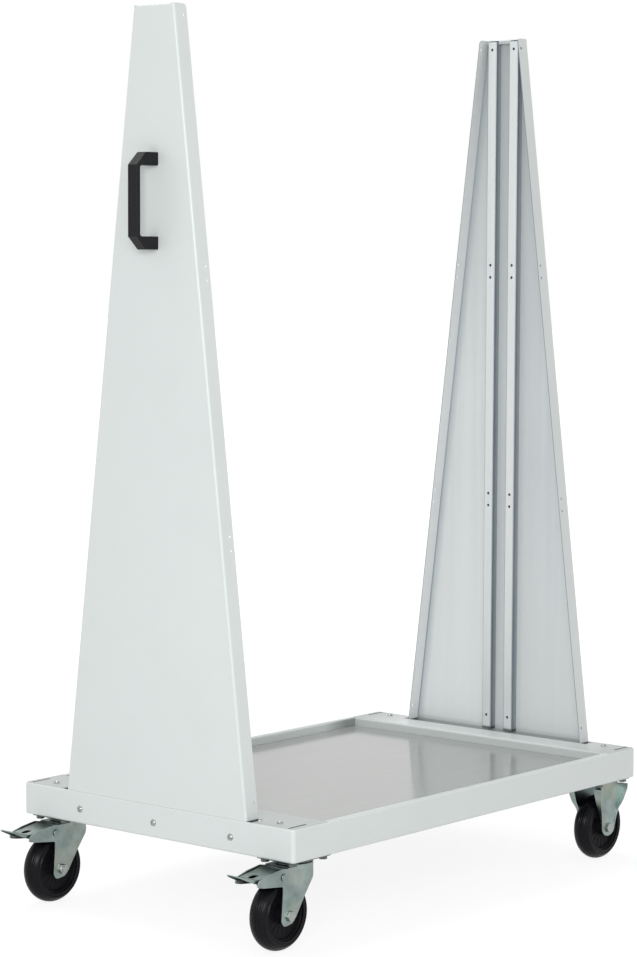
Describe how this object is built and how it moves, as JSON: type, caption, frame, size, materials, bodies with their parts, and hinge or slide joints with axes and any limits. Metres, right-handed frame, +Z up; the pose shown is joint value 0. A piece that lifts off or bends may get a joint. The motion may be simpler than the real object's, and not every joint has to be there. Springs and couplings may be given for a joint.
{
  "type": "mobile workshop trolley",
  "caption": "Workshop trolley: tray base on two braked swivel and two fixed castors, tapering end panels with posts for boards or shelves, and a push handle",
  "frame": {"origin": "on the floor, below the centre of the whole trolley's box", "axes": "+Z up; -X towards the end with the push handle and the swivel castors; +Y towards the left side of a person who stands at the handle and faces the trolley"},
  "size_m": [1.126, 0.64, 1.589],
  "materials": {
    "painted_steel": "light grey semi-gloss powder coat",
    "galvanised_steel": "plain galvanised",
    "tray_sheet": "bright plain sheet",
    "zinc_steel": "bright zinc plate",
    "bolt_steel": "zinc-plated fasteners",
    "handle_plastic": "fine-grained black",
    "wheel_plastic": "moulded black",
    "tyre_rubber": "smooth black rubber",
    "brake_rubber": "moulded black rubber"
  },
  "bodies": {
    "base": {"handle_end_member": "painted_steel", "far_end_member": "painted_steel", "right_side_rail": "painted_steel", "left_side_rail": "painted_steel", "tray_floor": "tray_sheet", "handle_end_bearer": "galvanised_steel", "far_end_bearer": "galvanised_steel", "corner_bolts": "bolt_steel", "corner_nuts": "bolt_steel", "castor_bolts": "bolt_steel", "castor_nuts": "bolt_steel", "handle_end_panel": "painted_steel", "far_end_panel": "painted_steel", "handle_end_right_post": "galvanised_steel", "handle_end_left_post": "galvanised_steel", "far_end_right_post": "galvanised_steel", "far_end_left_post": "galvanised_steel", "panel_foot_bolts": "bolt_steel", "panel_foot_nuts": "bolt_steel", "push_handle": "handle_plastic", "handle_screws": "bolt_steel", "right_swivel_plate": "zinc_steel", "right_kingpin": "bolt_steel", "right_kingpin_nut": "bolt_steel", "right_fixed_fork": "zinc_steel", "right_fixed_axle_bolt": "bolt_steel", "right_fixed_axle_nut": "bolt_steel", "right_fixed_bush": "bolt_steel", "left_swivel_plate": "zinc_steel", "left_kingpin": "bolt_steel", "left_kingpin_nut": "bolt_steel", "left_fixed_fork": "zinc_steel", "left_fixed_axle_bolt": "bolt_steel", "left_fixed_axle_nut": "bolt_steel", "left_fixed_bush": "bolt_steel"},
    "right_swivel": {"right_swivel_fork": "zinc_steel", "right_swivel_balls": "bolt_steel", "right_pedal_rivet": "bolt_steel", "right_swivel_axle_bolt": "bolt_steel", "right_swivel_axle_nut": "bolt_steel", "right_swivel_bush": "bolt_steel"},
    "right_pedal": {"right_brake_pedal": "zinc_steel", "right_brake_shoe": "brake_rubber"},
    "right_swivel_wheel": {"right_swivel_wheel_centre": "wheel_plastic", "right_swivel_tyre": "tyre_rubber"},
    "right_fixed_wheel": {"right_fixed_wheel_centre": "wheel_plastic", "right_fixed_tyre": "tyre_rubber"},
    "left_swivel": {"left_swivel_fork": "zinc_steel", "left_swivel_balls": "bolt_steel", "left_pedal_rivet": "bolt_steel", "left_swivel_axle_bolt": "bolt_steel", "left_swivel_axle_nut": "bolt_steel", "left_swivel_bush": "bolt_steel"},
    "left_pedal": {"left_brake_pedal": "zinc_steel", "left_brake_shoe": "brake_rubber"},
    "left_swivel_wheel": {"left_swivel_wheel_centre": "wheel_plastic", "left_swivel_tyre": "tyre_rubber"},
    "left_fixed_wheel": {"left_fixed_wheel_centre": "wheel_plastic", "left_fixed_tyre": "tyre_rubber"}
  },
  "joints": [
    {"name": "right_swivel_turn", "type": "hinge", "parent": "base", "child": "right_swivel", "pos_m": [-0.406, -0.27, 0.146], "axis": [0, 0, 1], "continuous": true},
    {"name": "right_swivel_wheel_spin", "type": "hinge", "parent": "right_swivel", "child": "right_swivel_wheel", "pos_m": [-0.446, -0.27, 0.0625], "axis": [0, 1, 0], "continuous": true},
    {"name": "right_brake_pedal_tilt", "type": "hinge", "parent": "right_swivel", "child": "right_pedal", "pos_m": [-0.462, -0.27, 0.1304], "axis": [0, 1, 0], "range_deg": [-4.5, 0]},
    {"name": "right_fixed_wheel_spin", "type": "hinge", "parent": "base", "child": "right_fixed_wheel", "pos_m": [0.5005, -0.27, 0.0625], "axis": [0, 1, 0], "continuous": true},
    {"name": "left_swivel_turn", "type": "hinge", "parent": "base", "child": "left_swivel", "pos_m": [-0.406, 0.27, 0.146], "axis": [0, 0, 1], "continuous": true},
    {"name": "left_swivel_wheel_spin", "type": "hinge", "parent": "left_swivel", "child": "left_swivel_wheel", "pos_m": [-0.446, 0.27, 0.0625], "axis": [0, 1, 0], "continuous": true},
    {"name": "left_brake_pedal_tilt", "type": "hinge", "parent": "left_swivel", "child": "left_pedal", "pos_m": [-0.462, 0.27, 0.1304], "axis": [0, 1, 0], "range_deg": [-4.5, 0]},
    {"name": "left_fixed_wheel_spin", "type": "hinge", "parent": "base", "child": "left_fixed_wheel", "pos_m": [0.5005, 0.27, 0.0625], "axis": [0, 1, 0], "continuous": true}
  ]
}
